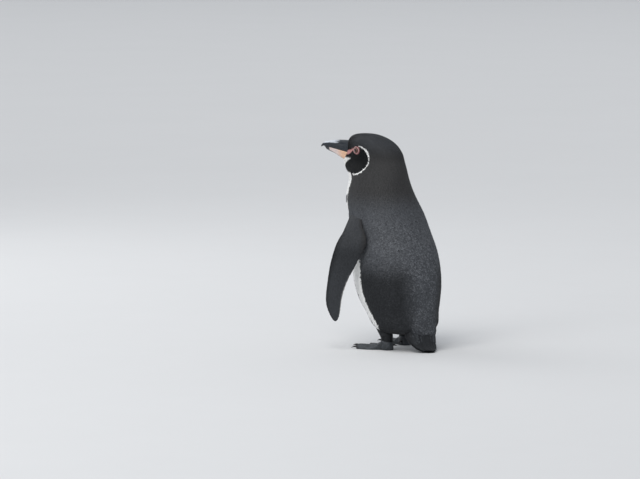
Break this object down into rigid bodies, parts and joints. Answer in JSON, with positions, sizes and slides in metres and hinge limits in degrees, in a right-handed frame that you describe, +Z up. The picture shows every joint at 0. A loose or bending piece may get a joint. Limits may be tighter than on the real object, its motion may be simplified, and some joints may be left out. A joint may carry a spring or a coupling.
{
  "type": "galapagos penguin",
  "caption": "Life-size still model of an adult Galapagos penguin standing on both feet, flippers held a little out, head turned slightly to its left.",
  "frame": {"origin": "middle of the bounding box in x and y, on the floor that the soles stand on", "axes": "+Z up; the bird faces -Y and its left side is +X"},
  "size_m": [0.2244, 0.2336, 0.3417],
  "materials": {
    "dark_plumage": "short, dense, slightly glossy feathers, slate above and white below",
    "tail_plumage": "stiff black feathers",
    "foot_skin": "scaly black skin",
    "claw_horn": "worn black horn",
    "dark_bill_horn": "smooth dark grey horn",
    "pale_bill_horn": "smooth pinkish horn with a black tip",
    "eyeball": "wet, dark red-brown"
  },
  "bodies": {
    "root": {"head": "dark_plumage", "neck": "dark_plumage", "trunk": "dark_plumage", "tail": "tail_plumage", "flipper_left": "dark_plumage", "flipper_right": "dark_plumage", "leg_left": "tail_plumage", "leg_right": "tail_plumage", "foot_left": "foot_skin", "foot_right": "foot_skin", "claw_inner_left": "claw_horn", "claw_middle_left": "claw_horn", "claw_outer_left": "claw_horn", "claw_hind_left": "claw_horn", "claw_inner_right": "claw_horn", "claw_middle_right": "claw_horn", "claw_outer_right": "claw_horn", "claw_hind_right": "claw_horn", "bill_upper": "dark_bill_horn", "bill_lower": "pale_bill_horn", "eye_left": "eyeball", "eye_right": "eyeball"}
  },
  "joints": []
}
